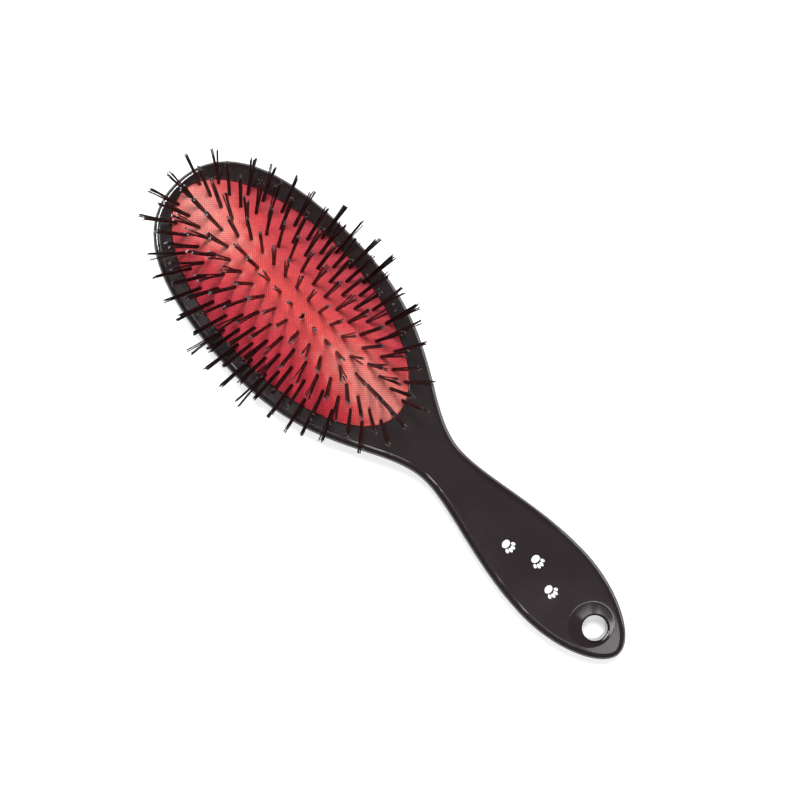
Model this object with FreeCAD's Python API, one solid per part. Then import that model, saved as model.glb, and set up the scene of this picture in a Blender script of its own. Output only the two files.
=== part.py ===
import FreeCAD, Part
import math
import os

# Oval air-cushion bristle brush.
# Frame: millimetres, +X along the handle, +Z out of the bristle side.
# The origin lies on the back of the head, straight below the middle of the cushion.

# Cushion opening in the head
OPENING_HALF_LENGTH = 54.8
OPENING_HALF_WIDTH = 25.9
LIP_THICKNESS = 1.2         # rim that overhangs the cushion's flange
LIP_EDGE_RADIUS = 0.5
FLANGE_WIDTH = 1.8          # cushion edge that sits in the groove
FLANGE_CLEARANCE = 0.3
LEDGE_WIDTH = 1.2           # part of the flange that rests on the bowl's ledge
BOWL_FLOOR = 3.1
VENT_RADIUS = 0.9
VENT_X = -30.0

# Moulded body, seen from the bristle side
RIM_AT_FRONT = 4.2
RIM_AT_SIDE = 6.4
HEAD_WIDEST_X = 2.5
NECK_PAST_OPENING = 25.2    # opening to the narrowest place of the neck
NECK_HALF_WIDTH = 8.5
GRIP_PAST_NECK = 56.0       # to the widest place of the grip
GRIP_HALF_WIDTH = 16.1
END_PAST_GRIP = 35.0

# Moulded body, seen from the side
HEAD_THICKNESS = 12.5
NECK_FRONT_DROP = 0.9       # below the head's front
GRIP_FRONT_DROP = 0.3
END_FRONT_DROP = 2.3
NECK_BACK_RISE = 1.4        # above the head's flat back
END_BACK_RISE = 2.6
FRONT_FLAT_MARGIN = 5.2     # the front is flat this far past the opening
REST_END = 42.0             # the back is flat from the head's front to here
FRONT_EDGE_RADIUS = 2.6
BACK_EDGE_RADIUS = 4.4
LEAST_SIDE_WALL = 0.6       # upright side left between the two rounded edges

# Hanging hole
HANG_HOLE_FROM_END = 13.0
HANG_HOLE_RADIUS = 4.5
HANG_LIP_RADIUS = 1.0
HANG_DISH_WIDTH = 3.7       # dish past the edge of the hole
HANG_DISH_DEPTH = 1.0

# Cushion
DOME_HEIGHT = 12.5          # facing's top above the groove
RUBBER_THICKNESS = 1.5
FACING_THICKNESS = 0.35
GLUE_FILM = 0.1
LIP_GAP = 0.15              # facing to the inner edge of the rim

# Tufts
TUFT_LENGTH = 21.0          # from the facing to the ends of the bristles
TUFT_ROOT_RADIUS = 0.55
TUFT_END_RADIUS = 0.95
TUFT_HOLE_CLEARANCE = 0.08
KNOT_RADIUS = 1.1
KNOT_HEIGHT = 0.9
KNOT_GAP = 0.15
COLUMN_PITCH = 5.75
ROW_PITCH = 5.22            # measured over the dome
ROW_ARC_RADIUS = 34.6       # of the arc that the rows are spaced along
ROW_COUNT = 11
COLUMN_BOW = 0.3            # end columns bend away from the middle by this share
PLAIN_COLUMNS = 4           # columns each side of the middle whose rows are staggered
EDGE_MARGIN = 1.1           # tuft roots stay this far inside the opening
RING_EDGES = (0.36, 0.55, 0.72, 0.84, 0.94, 1.0)   # shares of the opening

HEAD_FRONT = OPENING_HALF_LENGTH + RIM_AT_FRONT
HEAD_HALF_WIDTH = OPENING_HALF_WIDTH + RIM_AT_SIDE
NECK_X = OPENING_HALF_LENGTH + NECK_PAST_OPENING
GRIP_X = NECK_X + GRIP_PAST_NECK
HANDLE_END = GRIP_X + END_PAST_GRIP
HANG_HOLE_X = HANDLE_END - HANG_HOLE_FROM_END
NECK_FRONT_Z = HEAD_THICKNESS - NECK_FRONT_DROP
GRIP_FRONT_Z = HEAD_THICKNESS - GRIP_FRONT_DROP
END_FRONT_Z = HEAD_THICKNESS - END_FRONT_DROP
GROOVE_TOP = HEAD_THICKNESS - LIP_THICKNESS
RUBBER_TOP = GROOVE_TOP - FACING_THICKNESS - GLUE_FILM
LEDGE_Z = RUBBER_TOP - RUBBER_THICKNESS
DOME_HALF_LENGTH = OPENING_HALF_LENGTH - LIP_GAP
DOME_HALF_WIDTH = OPENING_HALF_WIDTH - LIP_GAP
LAST_ROW = (ROW_COUNT - 1) // 2
UP = FreeCAD.Vector(0, 0, 1)


def curve(*poles):
    """Bezier edge through flat (x, y) poles."""
    bezier = Part.BezierCurve()
    bezier.setPoles([FreeCAD.Vector(x, y, 0) for x, y in poles])
    return bezier.toShape()


def line(start, end):
    return Part.makeLine(FreeCAD.Vector(*start, 0), FreeCAD.Vector(*end, 0))


def glide(start, end, start_pull, end_pull):
    """Smooth step between two points, level at both, with pulls as shares of its run."""
    run = end[0] - start[0]
    return curve(start, (start[0] + start_pull * run, start[1]),
                 (end[0] - end_pull * run, end[1]), end)


def body_outline():
    """Outline seen from the bristle side, one half drawn and the other mirrored."""
    front = (-HEAD_FRONT, 0)
    head = (HEAD_WIDEST_X, HEAD_HALF_WIDTH)
    neck = (NECK_X, NECK_HALF_WIDTH)
    grip = (GRIP_X, GRIP_HALF_WIDTH)
    end = (HANDLE_END, 0)
    half = [
        curve(front, (-HEAD_FRONT, 0.775 * HEAD_HALF_WIDTH),
              (HEAD_WIDEST_X - 0.57 * HEAD_FRONT, HEAD_HALF_WIDTH), head),
        glide(head, neck, 0.57, 0.26),
        glide(neck, grip, 0.24, 0.41),
        curve(grip, (GRIP_X + 0.51 * END_PAST_GRIP, GRIP_HALF_WIDTH),
              (HANDLE_END, 0.5 * GRIP_HALF_WIDTH), end),
    ]
    other_half = [edge.mirror(FreeCAD.Vector(), FreeCAD.Vector(0, 1, 0)) for edge in half]
    return Part.Face(Part.Wire(Part.sortEdges(half + other_half)[0]))


def side_profile():
    """Side view of the body, drawn in X and Z and then stood up."""
    front_x = -HEAD_FRONT - 1
    end_x = HANDLE_END + 1
    flat_end = (OPENING_HALF_LENGTH + FRONT_FLAT_MARGIN, HEAD_THICKNESS)
    neck_front = (NECK_X, NECK_FRONT_Z)
    grip_front = (GRIP_X, GRIP_FRONT_Z)
    end_front = (end_x, END_FRONT_Z)
    end_back = (end_x, END_BACK_RISE)
    grip_back = (GRIP_X, 0)
    neck_back = (NECK_X, NECK_BACK_RISE)
    edges = [
        line((front_x, 0), (front_x, HEAD_THICKNESS)),
        line((front_x, HEAD_THICKNESS), flat_end),
        glide(flat_end, neck_front, 0.4, 0.4),
        glide(neck_front, grip_front, 0.3, 0.3),
        curve(grip_front, (GRIP_X + 0.5 * END_PAST_GRIP, GRIP_FRONT_Z),
              (end_x - 0.22 * END_PAST_GRIP, END_FRONT_Z + 0.4 * END_FRONT_DROP), end_front),
        line(end_front, end_back),
        curve(end_back, (end_x - 0.28 * END_PAST_GRIP, 0.45 * END_BACK_RISE),
              (GRIP_X + 0.45 * END_PAST_GRIP, 0), grip_back),
        glide(grip_back, neck_back, 0.35, 0.3),
        glide(neck_back, (REST_END, 0), 0.35, 0.35),
        line((REST_END, 0), (front_x, 0)),
    ]
    face = Part.Face(Part.Wire(edges))
    face.rotate(FreeCAD.Vector(), FreeCAD.Vector(1, 0, 0), 90)
    return face


def ellipse_disc(half_length, half_width, bottom, top):
    ellipse = Part.Ellipse(FreeCAD.Vector(0, 0, bottom), half_length, half_width)
    return Part.Face(Part.Wire(ellipse.toShape())).extrude(UP * (top - bottom))


def dome(half_length, half_width, height, base_z):
    """Solid under an elliptical paraboloid that stands on base_z."""
    profile = Part.BezierCurve()
    profile.setPoles([FreeCAD.Vector(0, 0, height), FreeCAD.Vector(half_width / 2, 0, height),
                      FreeCAD.Vector(half_width, 0, 0)])
    base = Part.makeLine(FreeCAD.Vector(half_width, 0, 0), FreeCAD.Vector())
    axis = Part.makeLine(FreeCAD.Vector(), FreeCAD.Vector(0, 0, height))
    section = Part.Face(Part.Wire([profile.toShape(), base, axis]))
    round_dome = section.revolve(FreeCAD.Vector(), UP, 360)
    stretch = FreeCAD.Matrix()
    stretch.scale(half_length / half_width, 1, 1)
    stretched = round_dome.transformGeometry(stretch)
    stretched.translate(UP * base_z)
    return stretched


def dome_place(x, y):
    """Point on the facing above (x, y), and the direction square to it."""
    share = (x / DOME_HALF_LENGTH) ** 2 + (y / DOME_HALF_WIDTH) ** 2
    point = FreeCAD.Vector(x, y, GROOVE_TOP + DOME_HEIGHT * (1 - share))
    normal = FreeCAD.Vector(2 * DOME_HEIGHT * x / DOME_HALF_LENGTH ** 2,
                            2 * DOME_HEIGHT * y / DOME_HALF_WIDTH ** 2, 1)
    return point, normal.normalize()


def row_y(row):
    """Distance of a row from the middle, with rows evenly spaced over the dome."""
    return ROW_ARC_RADIUS * math.sin(row * ROW_PITCH / ROW_ARC_RADIUS)


def tuft_places():
    """Yield (row, x, y): staggered rows in the middle, bowed columns at both ends."""
    last_column = int(OPENING_HALF_LENGTH / COLUMN_PITCH)
    for row in range(-LAST_ROW, LAST_ROW + 1):
        for column in range(-last_column, last_column + 1):
            in_middle = abs(column) <= PLAIN_COLUMNS
            shifted = abs(column) == PLAIN_COLUMNS + 1
            y = row_y(row + 0.5) if shifted else row_y(row)
            bow = 1 + COLUMN_BOW * (y / OPENING_HALF_WIDTH) ** 2
            stagger = COLUMN_PITCH / 4 * (-1) ** row if in_middle else 0
            x = (column * COLUMN_PITCH + stagger) * bow
            long_share = x / (OPENING_HALF_LENGTH - EDGE_MARGIN)
            wide_share = y / (OPENING_HALF_WIDTH - EDGE_MARGIN)
            if math.hypot(long_share, wide_share) < 1:
                yield row, x, y


def ring_of(x, y):
    """Ring of the cushion that a tuft stands in, counted from the middle."""
    share = math.hypot(x / OPENING_HALF_LENGTH, y / OPENING_HALF_WIDTH)
    return next(ring for ring, edge in enumerate(RING_EDGES, 1) if share < edge)


def turned(profile, point, direction):
    """Turned solid: (radius, height) corners about a line through point."""
    corners = [FreeCAD.Vector(radius, 0, height) for radius, height in profile]
    solid = Part.Face(Part.makePolygon(corners + corners[:1])).revolve(FreeCAD.Vector(), UP, 360)
    solid.Placement = FreeCAD.Placement(point, FreeCAD.Rotation(UP, direction))
    return solid


def tuft(x, y):
    """One tuft: bundled bristles fused into a knot that sits under the rubber."""
    point, direction = dome_place(x, y)
    knot_top = -(GROOVE_TOP - LEDGE_Z) * direction.z - KNOT_GAP
    profile = ((0, TUFT_LENGTH), (TUFT_END_RADIUS, TUFT_LENGTH), (TUFT_ROOT_RADIUS, 1.0),
               (TUFT_ROOT_RADIUS, knot_top), (KNOT_RADIUS, knot_top),
               (KNOT_RADIUS, knot_top - KNOT_HEIGHT / 2),
               (KNOT_RADIUS * 0.6, knot_top - KNOT_HEIGHT), (0, knot_top - KNOT_HEIGHT))
    return turned(profile, point, direction)


def tuft_holes():
    """Pins that cut the tuft holes through the facing and the rubber."""
    radius = TUFT_ROOT_RADIUS + TUFT_HOLE_CLEARANCE
    reach = 2 * (GROOVE_TOP - LEDGE_Z)
    profile = ((0, reach), (radius, reach), (radius, -reach), (0, -reach))
    return Part.makeCompound([turned(profile, *dome_place(x, y)) for _, x, y in tuft_places()])


def layer(top_z, thickness):
    """One layer of the cushion: a domed sheet with a flat flange round it."""
    bottom_z = top_z - thickness
    flange = ellipse_disc(OPENING_HALF_LENGTH + FLANGE_WIDTH, OPENING_HALF_WIDTH + FLANGE_WIDTH,
                          bottom_z, top_z)
    crown = dome(DOME_HALF_LENGTH, DOME_HALF_WIDTH, DOME_HEIGHT, top_z)
    hollow = dome(DOME_HALF_LENGTH, DOME_HALF_WIDTH, DOME_HEIGHT, bottom_z)
    return flange.fuse(crown).cut(hollow).cut(tuft_holes())


def fabric_facing():
    return layer(GROOVE_TOP, FACING_THICKNESS)


def rubber_cushion():
    return layer(RUBBER_TOP, RUBBER_THICKNESS)


def body_blank():
    """Solid head and handle with rounded edges, before the bowl and the hole."""
    block = body_outline().extrude(UP * (HEAD_THICKNESS + 1))
    half_width = HEAD_HALF_WIDTH + 1
    slab = side_profile().extrude(FreeCAD.Vector(0, 2 * half_width, 0))
    slab.translate(FreeCAD.Vector(0, -half_width, 0))
    blank = block.common(slab)
    thinnest = END_FRONT_Z - END_BACK_RISE
    back_radius = min(BACK_EDGE_RADIUS, thinnest - FRONT_EDGE_RADIUS - LEAST_SIDE_WALL)
    blank = blank.makeFillet(FRONT_EDGE_RADIUS, perimeter_edges(blank, True))
    return blank.makeFillet(back_radius, perimeter_edges(blank, False))


def perimeter_edges(blank, on_front):
    """Sharp edges that run round the outline, on the front or on the back."""
    chosen = []
    for edge in blank.Edges:
        middle = edge.valueAt((edge.FirstParameter + edge.LastParameter) / 2)
        runs_round = abs(middle.y) > 1 and edge.BoundBox.ZLength < HEAD_THICKNESS / 3
        if runs_round and (middle.z > HEAD_THICKNESS / 2) == on_front:
            chosen.append(edge)
    return chosen


def bowl():
    """Dished hollow under the cushion, half an ellipsoid below the ledge.

    The ball's seam is turned away from the body's middle plane.
    """
    half_length = OPENING_HALF_LENGTH + FLANGE_WIDTH - LEDGE_WIDTH
    half_width = OPENING_HALF_WIDTH + FLANGE_WIDTH - LEDGE_WIDTH
    stretch = FreeCAD.Matrix()
    stretch.scale(half_length / half_width, 1, (LEDGE_Z - BOWL_FLOOR) / half_width)
    ball = Part.makeSphere(half_width)
    ball.rotate(FreeCAD.Vector(), UP, 90)
    hollow = ball.transformGeometry(stretch)
    hollow.translate(UP * LEDGE_Z)
    return hollow


def hang_hole(blank):
    """Through hole, with a shallow dish round its front mouth."""
    through = Part.makeLine(FreeCAD.Vector(HANG_HOLE_X, 0, -1),
                            FreeCAD.Vector(HANG_HOLE_X, 0, HEAD_THICKNESS + 1))
    front_z = blank.common(through).BoundBox.ZMax
    dish_reach = HANG_HOLE_RADIUS + HANG_DISH_WIDTH
    dish_radius = (dish_reach ** 2 + HANG_DISH_DEPTH ** 2) / (2 * HANG_DISH_DEPTH)
    dish_z = front_z - HANG_DISH_DEPTH + dish_radius
    dish = Part.makeSphere(dish_radius, FreeCAD.Vector(HANG_HOLE_X, 0, dish_z))
    bore = Part.makeCylinder(HANG_HOLE_RADIUS, HEAD_THICKNESS + 2,
                             FreeCAD.Vector(HANG_HOLE_X, 0, -1))
    pierced = blank.cut(dish).cut(bore)
    mouths = [edge for edge in pierced.Edges if is_mouth(edge)]
    return pierced.makeFillet(HANG_LIP_RADIUS, mouths)


def is_mouth(edge):
    """True for the edges where the hanging hole meets the front and the back."""
    box = edge.BoundBox
    near = math.hypot(box.Center.x - HANG_HOLE_X, box.Center.y) < HANG_HOLE_RADIUS
    small = box.DiagonalLength < 3 * HANG_HOLE_RADIUS
    flat = box.ZLength < HANG_LIP_RADIUS
    return near and small and flat


def handle_body():
    """Moulded head and handle, with the groove that holds the cushion's flange."""
    body = hang_hole(body_blank())
    opening = ellipse_disc(OPENING_HALF_LENGTH, OPENING_HALF_WIDTH, LEDGE_Z, HEAD_THICKNESS + 1)
    groove_reach = FLANGE_WIDTH + FLANGE_CLEARANCE
    groove = ellipse_disc(OPENING_HALF_LENGTH + groove_reach, OPENING_HALF_WIDTH + groove_reach,
                          LEDGE_Z, GROOVE_TOP)
    vent = Part.makeCylinder(VENT_RADIUS, HEAD_THICKNESS, FreeCAD.Vector(VENT_X, 0, -1))
    body = body.cut(opening)
    lip_edge = [edge for edge in body.Edges if edge.BoundBox.ZMin > HEAD_THICKNESS - 0.01
                and abs(edge.BoundBox.XLength - 2 * OPENING_HALF_LENGTH) < 0.1]
    body = body.makeFillet(LIP_EDGE_RADIUS, lip_edge)
    return body.cut(groove).cut(bowl()).cut(vent)


def tuft_nodes():
    """Tufts grouped by ring and row, because each ring sinks by its own share."""
    groups = {}
    for row, x, y in tuft_places():
        name = f"tufts_ring_{ring_of(x, y)}_row_{row + LAST_ROW + 1:02d}"
        groups.setdefault(name, []).append(tuft(x, y))
    return {name: Part.makeCompound(tufts) for name, tufts in groups.items()}


nodes = {
    "handle_body": handle_body(),
    "rubber_cushion": rubber_cushion(),
    "fabric_facing": fabric_facing(),
    **tuft_nodes(),
}

os.makedirs("parts", exist_ok=True)
for name, shape in nodes.items():
    shape.exportStep(f"parts/{name}.step")
    print(name, len(shape.Solids), shape.isValid(), round(shape.Volume, 1))
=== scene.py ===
import math
import random

import bpy
from mathutils import Matrix, Vector


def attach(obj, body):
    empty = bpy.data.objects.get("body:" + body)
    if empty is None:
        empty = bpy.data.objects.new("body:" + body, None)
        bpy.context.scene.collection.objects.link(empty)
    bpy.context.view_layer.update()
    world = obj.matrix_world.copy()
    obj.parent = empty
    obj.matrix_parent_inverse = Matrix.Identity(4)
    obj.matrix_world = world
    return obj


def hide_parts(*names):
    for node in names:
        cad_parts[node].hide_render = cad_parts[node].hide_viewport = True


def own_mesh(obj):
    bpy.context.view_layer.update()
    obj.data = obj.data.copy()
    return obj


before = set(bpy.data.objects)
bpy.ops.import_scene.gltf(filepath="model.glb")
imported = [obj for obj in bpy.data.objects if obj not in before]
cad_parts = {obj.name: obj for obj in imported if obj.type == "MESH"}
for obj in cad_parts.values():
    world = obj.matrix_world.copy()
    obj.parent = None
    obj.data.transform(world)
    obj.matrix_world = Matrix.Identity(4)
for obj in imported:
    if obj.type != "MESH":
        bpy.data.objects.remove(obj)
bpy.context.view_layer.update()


# Handle: one glossy black moulding with the head's bowl, the waisted neck, the
# grip and the hanging hole. It leaves the mould polished, with a faint flow ripple.
def new_material(name, slot_name, colour, roughness):
    """A material with its shader's colour and roughness set and its slot named, ready for
    more nodes.
    """
    material = bpy.data.materials.new(name)
    material.use_nodes = True
    nodes = material.node_tree.nodes
    shader = nodes["Principled BSDF"]
    shader.inputs["Base Color"].default_value = (*colour, 1)
    shader.inputs["Roughness"].default_value = roughness
    material["slot"] = slot_name
    return material, nodes, material.node_tree.links, shader


def add_noise(nodes, links, scale, detail, stretch=(1, 1, 1)):
    """Noise on Object coordinates, whose scale is in features per metre."""
    place = nodes.new("ShaderNodeTexCoord")
    mapping = nodes.new("ShaderNodeMapping")
    mapping.inputs["Scale"].default_value = stretch
    noise = nodes.new("ShaderNodeTexNoise")
    noise.inputs["Scale"].default_value = scale
    noise.inputs["Detail"].default_value = detail
    links.new(place.outputs["Object"], mapping.inputs["Vector"])
    links.new(mapping.outputs["Vector"], noise.inputs["Vector"])
    return noise.outputs["Fac"]


def remap(nodes, links, source, low, high):
    """The source's middle range, 0.3 to 0.7, spread from low to high."""
    spread = nodes.new("ShaderNodeMapRange")
    spread.inputs["From Min"].default_value = 0.3
    spread.inputs["From Max"].default_value = 0.7
    spread.inputs["To Min"].default_value = low
    spread.inputs["To Max"].default_value = high
    links.new(source, spread.inputs["Value"])
    return spread.outputs["Result"]


def add_bump(nodes, links, shader, height, distance, strength=1.0):
    """Raises the surface by up to this distance where the height is 1."""
    bump = nodes.new("ShaderNodeBump")
    bump.inputs["Distance"].default_value = distance
    bump.inputs["Strength"].default_value = strength
    links.new(height, bump.inputs["Height"])
    links.new(bump.outputs["Normal"], shader.inputs["Normal"])


def finish_with(piece, material):
    """Gives a piece this material and the material's slot."""
    piece.data.materials.clear()
    piece.data.materials.append(material)


plastic_black = (0.0155, 0.0095, 0.0105)
ripple_depth = 0.00001
black_plastic, nodes, links, shader = new_material(
    "moulded_black_plastic", "moulded_handle", plastic_black, 0.12)
shader.inputs["Specular IOR Level"].default_value = 0.5
haze = add_noise(nodes, links, 60, 5)
links.new(remap(nodes, links, haze, 0.09, 0.17), shader.inputs["Roughness"])
ripple = add_noise(nodes, links, 320, 2)
add_bump(nodes, links, shader, ripple, ripple_depth)
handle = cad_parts["handle_body"]
for holder in handle.material_slots:
    holder.material = black_plastic


# Fabric facing: a fine plain weave, cut as one oval, stretched over the dome and
# bonded to the rubber. Its edge goes down into the groove under the rim.
def only(piece):
    """Deselects everything, then selects this piece and makes it active."""
    bpy.ops.object.select_all(action="DESELECT")
    piece.select_set(True)
    bpy.context.view_layer.objects.active = piece


def edit(piece):
    """Edit mode on this piece only, with all of it selected."""
    only(piece)
    bpy.ops.object.mode_set(mode="EDIT")
    bpy.ops.mesh.select_all(action="SELECT")


def apply_modifier(piece, kind, **settings):
    """Adds a modifier of this kind, and applies it at once."""
    only(piece)
    modifier = piece.modifiers.new(kind.lower(), kind)
    for key, value in settings.items():
        setattr(modifier, key, value)
    bpy.ops.object.modifier_apply(modifier=modifier.name)


def smooth(piece, degrees):
    """Smooth shading, apart from edges sharper than this angle."""
    only(piece)
    bpy.ops.object.shade_smooth_by_angle(angle=math.radians(degrees))


groove_z = 0.0113
dome_x, dome_y, dome_rise = 0.05465, 0.02575, 0.0125
cut_x, cut_y = 0.0566, 0.0277
facing_thickness = 0.0003
dome_sides, dome_rings = 216, 60
bpy.ops.object.select_all(action="DESELECT")
bpy.ops.mesh.primitive_circle_add(
    vertices=dome_sides, radius=1, fill_type="NOTHING", location=(0, 0, groove_z))
facing = bpy.context.object
facing.name = "facing_woven"
facing.scale = (cut_x, cut_y, 1)
bpy.ops.object.transform_apply(location=True, scale=True)
edit(facing)
was_x, was_y, was_z = cut_x, cut_y, groove_z
for ring in range(dome_rings, 0, -1):
    share = ring / dome_rings
    ring_z = groove_z + dome_rise * (1 - share ** 2)
    ring_x, ring_y = share * dome_x, share * dome_y
    bpy.ops.mesh.extrude_region_move(
        TRANSFORM_OT_translate={"value": (0, 0, ring_z - was_z)})
    bpy.ops.transform.resize(value=(ring_x / was_x, ring_y / was_y, 1),
                             center_override=(0, 0, ring_z))
    was_x, was_y, was_z = ring_x, ring_y, ring_z
bpy.ops.mesh.edge_face_add()
bpy.ops.mesh.select_all(action="SELECT")
bpy.ops.mesh.normals_make_consistent(inside=False)
bpy.ops.object.mode_set(mode="OBJECT")

# Each tuft draws the cushion down into a small pucker round its root. A tuft's
# line runs from its foot to its tip, and comes from its CAD solid.
tuft_length = 0.021
tip_depth = 0.003
pucker_depth, pucker_radius = 0.0002, 0.0021
tuft_lines = {}
for node_name, node in sorted(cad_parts.items()):
    if not node_name.startswith("tufts_"):
        continue
    solids = bpy.data.objects.new("solids", node.data.copy())
    bpy.context.collection.objects.link(solids)
    edit(solids)
    bpy.ops.mesh.remove_doubles(threshold=0.000001)
    bpy.ops.mesh.separate(type="LOOSE")
    bpy.ops.object.mode_set(mode="OBJECT")
    lines = []
    for solid in bpy.context.selected_objects:
        points = [vertex.co.copy() for vertex in solid.data.vertices]
        tip_z = max(point.z for point in points) - tip_depth
        ends = [point for point in points if point.z > tip_z]
        feet = [point for point in points if point.z <= tip_z]
        tip = sum(ends, Vector()) / len(ends)
        foot = sum(feet, Vector()) / len(feet)
        lines.append((tip, (tip - foot).normalized()))
    tuft_lines[node_name] = sorted(lines, key=lambda line: (line[0].x, line[0].y))
    bpy.ops.object.delete()
edit(facing)
bpy.ops.mesh.select_mode(type="VERT")
for lines in tuft_lines.values():
    for tip, direction in lines:
        bpy.ops.mesh.select_all(action="DESELECT")
        bpy.ops.object.mode_set(mode="OBJECT")
        root = tip - direction * tuft_length
        nearest = min(facing.data.vertices,
                      key=lambda vertex: (vertex.co - root).length_squared)
        nearest.select = True
        bpy.ops.object.mode_set(mode="EDIT")
        bpy.ops.transform.translate(
            value=(0, 0, -pucker_depth), use_proportional_edit=True,
            proportional_edit_falloff="SMOOTH", proportional_size=pucker_radius)
bpy.ops.object.mode_set(mode="OBJECT")
only(facing)
bpy.ops.object.duplicate()
cushion = bpy.context.object
apply_modifier(facing, "SOLIDIFY", thickness=facing_thickness, offset=-1)
smooth(facing, 35)

woven, nodes, links, shader = new_material(
    "red_plain_weave", "woven_facing", (0.62, 0.06, 0.07), 0.6)
shader.inputs["Specular IOR Level"].default_value = 0.12
shader.inputs["Sheen Weight"].default_value = 0.12
shader.inputs["Sheen Roughness"].default_value = 0.4
shader.inputs["Sheen Tint"].default_value = (1, 0.62, 0.5, 1)
thread_pitch = 0.0007
thread_depth = 0.00006
bias_angle = math.radians(-46.9)
place = nodes.new("ShaderNodeTexCoord")
bias = nodes.new("ShaderNodeMapping")
bias.inputs["Rotation"].default_value = (0, 0, bias_angle)
links.new(place.outputs["Object"], bias.inputs["Vector"])
threads = []
for direction in ("X", "Y"):
    wave = nodes.new("ShaderNodeTexWave")
    wave.bands_direction = direction
    wave.inputs["Scale"].default_value = math.pi / (10 * thread_pitch)
    wave.inputs["Distortion"].default_value = 0
    links.new(bias.outputs["Vector"], wave.inputs["Vector"])
    threads.append(wave.outputs["Fac"])
over_under = nodes.new("ShaderNodeTexChecker")
over_under.inputs["Scale"].default_value = 1 / thread_pitch
links.new(bias.outputs["Vector"], over_under.inputs["Vector"])
weave = nodes.new("ShaderNodeMix")
links.new(over_under.outputs["Fac"], weave.inputs["Factor"])
links.new(threads[0], weave.inputs["A"])
links.new(threads[1], weave.inputs["B"])
add_bump(nodes, links, shader, weave.outputs["Result"], thread_depth, 0.6)


# Painted light on the cloth: its red is painted lighter on top and darker, as shade, on the
# slopes to the two sides, and a peach sheen is painted where the dome turns down towards its
# two ends.
def add_range(nodes, links, source, source_low, source_high, low=0, high=1,
              interpolation="LINEAR"):
    """The source from source_low to source_high, spread from low to high."""
    spread = nodes.new("ShaderNodeMapRange")
    spread.interpolation_type = interpolation
    spread.inputs["From Min"].default_value = source_low
    spread.inputs["From Max"].default_value = source_high
    spread.inputs["To Min"].default_value = low
    spread.inputs["To Max"].default_value = high
    links.new(source, spread.inputs["Value"])
    return spread.outputs["Result"]


def calculate(nodes, links, operation, first, second=None):
    """A Math node on one source or on two."""
    step = nodes.new("ShaderNodeMath")
    step.operation = operation
    links.new(first, step.inputs[0])
    if second is not None:
        links.new(second, step.inputs[1])
    return step.outputs[0]


def mix_colours(nodes, links, first, blend_type="MIX"):
    """A colour Mix node with its first colour linked."""
    mix = nodes.new("ShaderNodeMix")
    mix.data_type = "RGBA"
    mix.blend_type = blend_type
    links.new(first, mix.inputs["A"])
    return mix


# Painted shade: lit and shaded copies of the red, picked by how far the normal leans to
# either side.
red_painted_shade_near = (0.62, 0.034, 0.062)
red_painted_light_top = (0.73, 0.072, 0.068)
red_painted_shade_far = (0.52, 0.055, 0.075)
painted_sheen_peach = (0.8, 0.235, 0.205)
surface = nodes.new("ShaderNodeNewGeometry")
axes = nodes.new("ShaderNodeSeparateXYZ")
links.new(surface.outputs["Normal"], axes.inputs["Vector"])
lean_along = calculate(nodes, links, "ABSOLUTE", axes.outputs["X"])
lean_across = calculate(nodes, links, "ABSOLUTE", axes.outputs["Y"])
red_with_painted_shade = nodes.new("ShaderNodeValToRGB")
red_with_painted_shade.color_ramp.elements[0].color = (*red_painted_shade_near, 1)
red_with_painted_shade.color_ramp.elements[1].color = (*red_painted_shade_far, 1)
red_with_painted_shade.color_ramp.elements.new(0.5).color = (*red_painted_light_top, 1)
links.new(add_range(nodes, links, axes.outputs["Y"], -0.65, 0.65), red_with_painted_shade.inputs["Fac"])
# Painted sheen: peach mixed into the colour where the normal leans towards an end and not to
# a side.
painted_sheen_along = add_range(nodes, links, lean_along, 0.1, 0.33, interpolation="SMOOTHSTEP")
painted_sheen_across = add_range(nodes, links, lean_across, 0.06, 0.45, 1, 0, "SMOOTHSTEP")
red_with_painted_shade_and_sheen = mix_colours(nodes, links, red_with_painted_shade.outputs["Color"])
red_with_painted_shade_and_sheen.inputs["B"].default_value = (*painted_sheen_peach, 1)
links.new(calculate(nodes, links, "MULTIPLY", painted_sheen_along, painted_sheen_across),
          red_with_painted_shade_and_sheen.inputs["Factor"])
fuzz = remap(nodes, links, add_noise(nodes, links, 700, 4), 0.9, 1.06)
# fuzz is the yarn's own random tone; the weave's height also darkens its low parts and
# lightens its crowns, a painted shade and highlight.
painted_thread_shade = add_range(nodes, links, weave.outputs["Result"], 0, 1, 0.66, 1.12)
fuzz_and_painted_thread_shade = calculate(nodes, links, "MULTIPLY", fuzz, painted_thread_shade)
fuzz_and_painted_thread_shade_colour = nodes.new("ShaderNodeCombineColor")
for channel in ("Red", "Green", "Blue"):
    links.new(fuzz_and_painted_thread_shade, fuzz_and_painted_thread_shade_colour.inputs[channel])
# The base colour so carries the painted shade, sheen and thread shade along with the real red
# and its random tone.
shade = mix_colours(nodes, links, red_with_painted_shade_and_sheen.outputs["Result"], "MULTIPLY")
shade.inputs["Factor"].default_value = 1
links.new(fuzz_and_painted_thread_shade_colour.outputs["Color"], shade.inputs["B"])
links.new(shade.outputs["Result"], shader.inputs["Base Color"])
finish_with(facing, woven)
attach(facing, "root")
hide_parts("fabric_facing")
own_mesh(facing)


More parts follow.
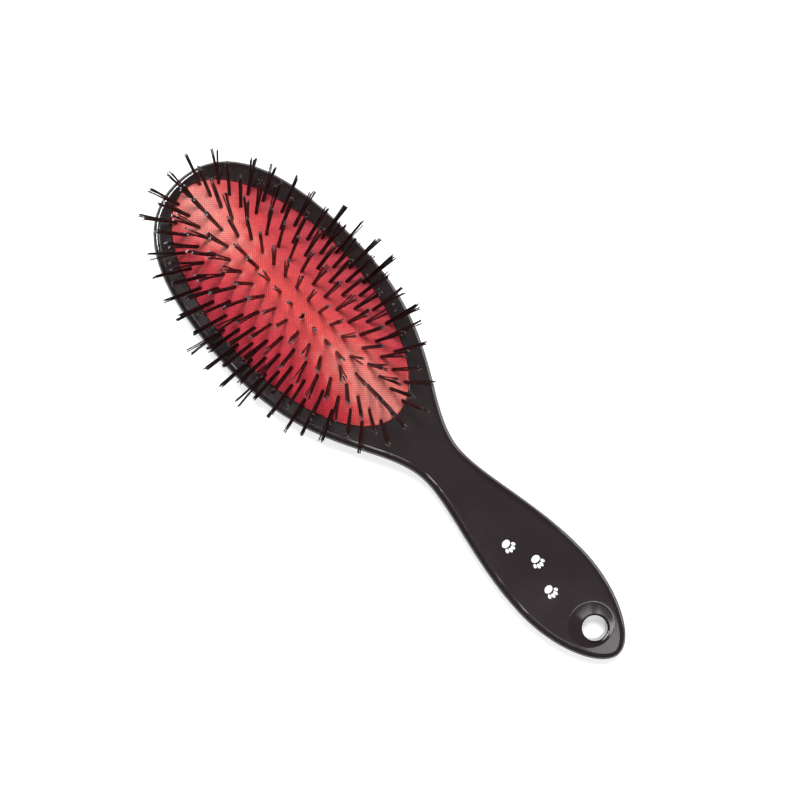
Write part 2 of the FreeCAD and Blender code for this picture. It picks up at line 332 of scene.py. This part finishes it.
# Rubber cushion: a moulded dome under the facing. Its flange snaps into the groove
# under the rim, and the air in the bowl below it gives it its spring.
rubber_below = 0.00045
rubber_thickness = 0.0014
grain_depth = 0.00003
cushion.name = "cushion_rubber"
edit(cushion)
bpy.ops.transform.translate(value=(0, 0, -rubber_below))
bpy.ops.object.mode_set(mode="OBJECT")
apply_modifier(cushion, "SOLIDIFY", thickness=rubber_thickness, offset=-1)
smooth(cushion, 35)
rubber, nodes, links, shader = new_material(
    "moulded_red_rubber", "cushion_rubber", (0.3, 0.03, 0.04), 0.6)
grain = add_noise(nodes, links, 900, 4)
links.new(remap(nodes, links, grain, 0.5, 0.7), shader.inputs["Roughness"])
add_bump(nodes, links, shader, grain, grain_depth)
finish_with(cushion, rubber)
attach(cushion, "root")
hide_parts("rubber_cushion")
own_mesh(cushion)


# Print: three small paw marks in white ink on the grip, a film too thin to feel.
# Each mark is one pad and four toes, laid onto the curve of the grip.
def add_dot(x, y, half_length, half_width, turn):
    """A flat oval of ink over the grip, with its faces facing up."""
    bpy.ops.object.select_all(action="DESELECT")
    bpy.ops.mesh.primitive_circle_add(
        vertices=24, radius=1, fill_type="NGON", location=(x, y, above_grip),
        rotation=(0, 0, turn))
    dot = bpy.context.object
    dot.scale = (half_length, half_width, 1)
    bpy.ops.object.transform_apply(location=True, rotation=True, scale=True)
    return dot


def add_paw(x, y, turn):
    """One pad and four toes, pointing along turn, in shares of the paw's size."""
    marks = [(0, 0, 0.46, 0.6, 0),
             (0.72, -0.62, 0.3, 0.2, -0.35), (1.0, -0.22, 0.34, 0.21, -0.1),
             (1.0, 0.22, 0.34, 0.21, 0.1), (0.72, 0.62, 0.3, 0.2, 0.35)]
    dots = []
    for along, across, half_length, half_width, lean in marks:
        offset = Vector((along * paw_size, across * paw_size, 0))
        place = Matrix.Rotation(turn, 3, "Z") @ offset
        dots.append(add_dot(x + place.x, y + place.y, half_length * paw_size,
                            half_width * paw_size, turn + lean))
    return dots


above_grip = 0.014
paw_size = 0.0027
ink_thickness = 0.00003
ink_border = 0.0001
ink_lift = 0.00004
ink_wear_depth = 0.00001
dots = add_paw(0.1145, -0.0026, 0.12)
dots += add_paw(0.1255, 0.0014, -0.1)
dots += add_paw(0.1365, -0.0026, 0.12)
only(dots[0])
for dot in dots[1:]:
    dot.select_set(True)
bpy.ops.object.join()
paws = bpy.context.object
paws.name = "grip_print"
edit(paws)
bpy.ops.mesh.inset(thickness=ink_border, use_individual=True)
bpy.ops.object.mode_set(mode="OBJECT")
apply_modifier(paws, "SHRINKWRAP", target=handle, wrap_method="PROJECT",
               use_project_z=True, use_negative_direction=True,
               use_positive_direction=False, offset=ink_lift)
apply_modifier(paws, "SOLIDIFY", thickness=ink_thickness, offset=1)
ink, nodes, links, shader = new_material(
    "white_ink", "moulded_handle", (0.82, 0.82, 0.83), 0.45)
wear = add_noise(nodes, links, 1500, 4)
links.new(remap(nodes, links, wear, 0.38, 0.55), shader.inputs["Roughness"])
add_bump(nodes, links, shader, wear, ink_wear_depth)
finish_with(paws, ink)
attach(paws, "root")


# Tufts: five to seven nylon bristles of 0.46 mm, drawn through the cushion together
# and melted into a knot under it. They part into twos and threes towards their ends.
bristle_radius = 0.00023
bristle_pitch = 0.00044
bristle_foot = -0.0022
knot_radius, knot_height, knot_z = 0.0011, 0.0009, -0.00262
knot_edge = 0.00028
sides = 6
steps = 6
cut_end_depth = 0.0004
shorter, longer = -0.0009, 0.0007
stray_lean, stray_bow = 0.00011, 0.00005
streak_depth = 0.00001
fracture_depth = 0.00005
nylon, nodes, links, shader = new_material(
    "black_nylon", "bristles", (0.003, 0.0022, 0.0024), 0.42)
shader.inputs["Specular IOR Level"].default_value = 0.32
gloss = add_noise(nodes, links, 500, 3)
links.new(remap(nodes, links, gloss, 0.32, 0.5), shader.inputs["Roughness"])
streaks = add_noise(nodes, links, 2500, 2, stretch=(1, 1, 0.05))
add_bump(nodes, links, shader, streaks, streak_depth)
cut_end, nodes, links, shader = new_material(
    "cut_nylon_end", "bristles", (0.1, 0.09, 0.09), 0.2)
fracture = add_noise(nodes, links, 6000, 3)
add_bump(nodes, links, shader, fracture, fracture_depth)


def make_bristle(base, lean, length, bow):
    """A closed filament from under the cushion to its cut end, bent aside by lean."""
    foot = Vector((base.x, base.y, bristle_foot))
    bpy.ops.object.select_all(action="DESELECT")
    bpy.ops.mesh.primitive_circle_add(
        vertices=sides, radius=bristle_radius, fill_type="NGON", location=foot)
    bristle = bpy.context.object
    edit(bristle)
    was = foot
    for step in range(1, steps + 1):
        share = step / steps
        spread = lean * share ** 2.2 + bow * math.sin(math.pi * share)
        now = foot + Vector((spread.x, spread.y, share * (length - bristle_foot)))
        bpy.ops.mesh.extrude_region_move(TRANSFORM_OT_translate={"value": now - was})
        was = now
    bpy.ops.mesh.select_all(action="SELECT")
    bpy.ops.mesh.normals_make_consistent(inside=False)
    bpy.ops.object.mode_set(mode="OBJECT")
    bristle.data.materials.append(nylon)
    bristle.data.materials.append(cut_end)
    for face in bristle.data.polygons:
        at_end = face.center.z > length - cut_end_depth and face.normal.z > 0.7
        face.material_index = 1 if at_end else 0
    return bristle


def make_tuft(seed):
    """One tuft standing on the origin, with its knot below."""
    chance = random.Random(seed)
    count = chance.choice((5, 6, 6, 7, 7))
    places = [Vector((0, 0, 0))]
    places += [Matrix.Rotation(k * math.pi / 3, 3, "Z") @ Vector((bristle_pitch, 0, 0))
               for k in range(6)]
    places = chance.sample(places, count)
    first = chance.uniform(0, 2 * math.pi)
    groups = chance.choice((2, 3, 3))
    spread = chance.choice((0.0002, 0.0003, 0.0004, 0.0005, 0.0009))
    headings = [first + k * 2 * math.pi / groups for k in range(groups)]
    leans = [Vector((math.cos(heading), math.sin(heading), 0)) * spread
             for heading in headings]
    bristles = []
    for base in places:
        lean = max(leans, key=lambda lean: lean.dot(base) + chance.uniform(-1, 1) * 0.0000002)
        jitter = Vector((chance.gauss(0, 1), chance.gauss(0, 1), 0)) * stray_lean
        bow = Vector((chance.gauss(0, 1), chance.gauss(0, 1), 0)) * stray_bow
        length = tuft_length + chance.uniform(shorter, longer)
        bristles.append(make_bristle(base, lean + jitter, length, bow))
    bpy.ops.object.select_all(action="DESELECT")
    bpy.ops.mesh.primitive_cylinder_add(
        vertices=10, radius=knot_radius, depth=knot_height, location=(0, 0, knot_z))
    knot = bpy.context.object
    edit(knot)
    bpy.ops.mesh.bevel(offset=knot_edge, segments=2, affect="EDGES")
    bpy.ops.object.mode_set(mode="OBJECT")
    knot.data.materials.append(nylon)
    only(knot)
    for bristle in bristles:
        bristle.select_set(True)
    bpy.ops.object.join()
    bpy.ops.object.transform_apply(location=True)
    bpy.ops.object.shade_smooth_by_angle(angle=math.radians(50))
    return knot


# Ten kinds of tuft are made, and each place in the cushion gets one of them at a
# turn of its own. The tufts of ring 6 stand at the edge, which doesn't move.
kind_count = 10
placing_seed = 7
still_ring = "6"
tuft_kinds = [make_tuft(seed) for seed in range(kind_count)]
chance = random.Random(placing_seed)
for node_name, lines in tuft_lines.items():
    copies = []
    for tip, direction in lines:
        kind = chance.choice(tuft_kinds)
        piece_name = node_name.replace("tufts", "bristles")
        copy = bpy.data.objects.new(piece_name, kind.data.copy())
        bpy.context.collection.objects.link(copy)
        root = Matrix.Translation(tip - direction * tuft_length)
        stand = direction.to_track_quat("Z", "X").to_matrix().to_4x4()
        roll = Matrix.Rotation(chance.uniform(0, 2 * math.pi), 4, "Z")
        copy.data.transform(root @ stand @ roll)
        copies.append(copy)
    only(copies[0])
    for copy in copies[1:]:
        copy.select_set(True)
    if len(copies) > 1:
        bpy.ops.object.join()
    bristles = copies[0]
    ring_number = node_name.split("_")[2]
    body = "root" if ring_number == still_ring else f"cushion_ring_{ring_number}"
    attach(bristles, body)
    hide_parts(node_name)
bpy.ops.object.select_all(action="DESELECT")
for kind in tuft_kinds:
    kind.select_set(True)
bpy.ops.object.delete()


# Studio: the brush lies on its back on a white table, seen from straight above.
# The table and the room behind it are white, and the table keeps a faint shadow.
view_x, view_y, view_height = 0.0517, 0.0048, 0.7125
camera_data = bpy.data.cameras.new("camera")
camera_data.sensor_width = 36
camera_data.lens = 89.1
camera_data.clip_end = 10
camera = bpy.data.objects.new("camera", camera_data)
bpy.context.collection.objects.link(camera)
turn = math.radians(46.92)
above = Matrix.Translation((view_x, view_y, view_height))
camera.matrix_world = above @ Matrix.Rotation(turn, 4, "Z")
bpy.context.scene.camera = camera

table_size, table_x, table_z = 3, 0.05, -0.0004
table_glow = 0.45
bpy.ops.mesh.primitive_plane_add(size=table_size, location=(table_x, 0, table_z))
table = bpy.context.object
table.name = "table"
paper, nodes, links, shader = new_material("white_table", "", (0.86, 0.86, 0.86), 0.9)


def seen_by(nodes, links, *rays):
    """1 for these kinds of ray, and 0 for the ones that light the brush."""
    light_path = nodes.new("ShaderNodeLightPath")
    seen = light_path.outputs[rays[0]]
    for ray in rays[1:]:
        seen = calculate(nodes, links, "MAXIMUM", seen, light_path.outputs[ray])
    return seen


glow = nodes.new("ShaderNodeMath")
glow.operation = "MULTIPLY"
glow.inputs[1].default_value = table_glow
seen = seen_by(nodes, links, "Is Camera Ray", "Is Glossy Ray", "Is Transmission Ray")
links.new(seen, glow.inputs[0])
links.new(glow.outputs[0], shader.inputs["Emission Strength"])
shader.inputs["Emission Color"].default_value = (1, 1, 1, 1)
table.data.materials.append(paper)

world = bpy.data.worlds.new("studio")
bpy.context.scene.world = world
world.use_nodes = True
nodes, links = world.node_tree.nodes, world.node_tree.links
sky = nodes["Background"]
sky.inputs["Color"].default_value = (1, 0.985, 0.985, 1)
heading = nodes.new("ShaderNodeTexCoord")
parts = nodes.new("ShaderNodeSeparateXYZ")
links.new(heading.outputs["Generated"], parts.inputs["Vector"])
overhead = add_range(nodes, links, parts.outputs["Z"], 0, 1, 0.1, 0.31)
lengthwise = add_range(nodes, links, parts.outputs["X"], -0.22, 0.02, 0.25, 1)
soft_light = calculate(nodes, links, "MULTIPLY", overhead, lengthwise)
backdrop = nodes.new("ShaderNodeMix")
backdrop.inputs["B"].default_value = 1
links.new(seen_by(nodes, links, "Is Camera Ray", "Is Transmission Ray"),
          backdrop.inputs["Factor"])
links.new(soft_light, backdrop.inputs["A"])
links.new(backdrop.outputs["Result"], sky.inputs["Strength"])


def softbox(name, azimuth, elevation, distance, size, watts):
    """Area light aimed at the middle of the brush; azimuth turns from +X towards +Y."""
    data = bpy.data.lights.new(name, "AREA")
    data.shape = "RECTANGLE"
    data.size, data.size_y = size
    data.energy = watts
    lamp = bpy.data.objects.new(name, data)
    bpy.context.collection.objects.link(lamp)
    aim = Vector((view_x, view_y, 0.01))
    a, e = math.radians(azimuth), math.radians(elevation)
    heading = Vector((math.cos(a) * math.cos(e), math.sin(a) * math.cos(e), math.sin(e)))
    offset = heading * distance
    lamp.location = aim + offset
    lamp.rotation_euler = (-offset).to_track_quat("-Z", "Y").to_euler()
    return lamp


key = softbox("key", 137, 69, 1.6, (0.42, 0.42), 28)
key.visible_glossy = False
fill = softbox("fill", -32, 58, 1.6, (1.0, 1.0), 10)
fill.visible_glossy = False
nose_line = softbox("nose_line", 197, 36, 1.2, (1.1, 0.32), 34)
nose_line.visible_diffuse = False
side_line = softbox("side_line", -90, 76, 1.2, (1.2, 0.25), 7)
side_line.visible_diffuse = False
end_glow = softbox("end_glow", -8, 60, 1.2, (0.3, 0.3), 1.2)
end_glow.visible_diffuse = False
edge_glow = softbox("edge_glow", 65, 3, 1.2, (1.0, 0.1), 4)
edge_glow.visible_diffuse = False

scene = bpy.context.scene
scene.view_settings.view_transform = "Standard"
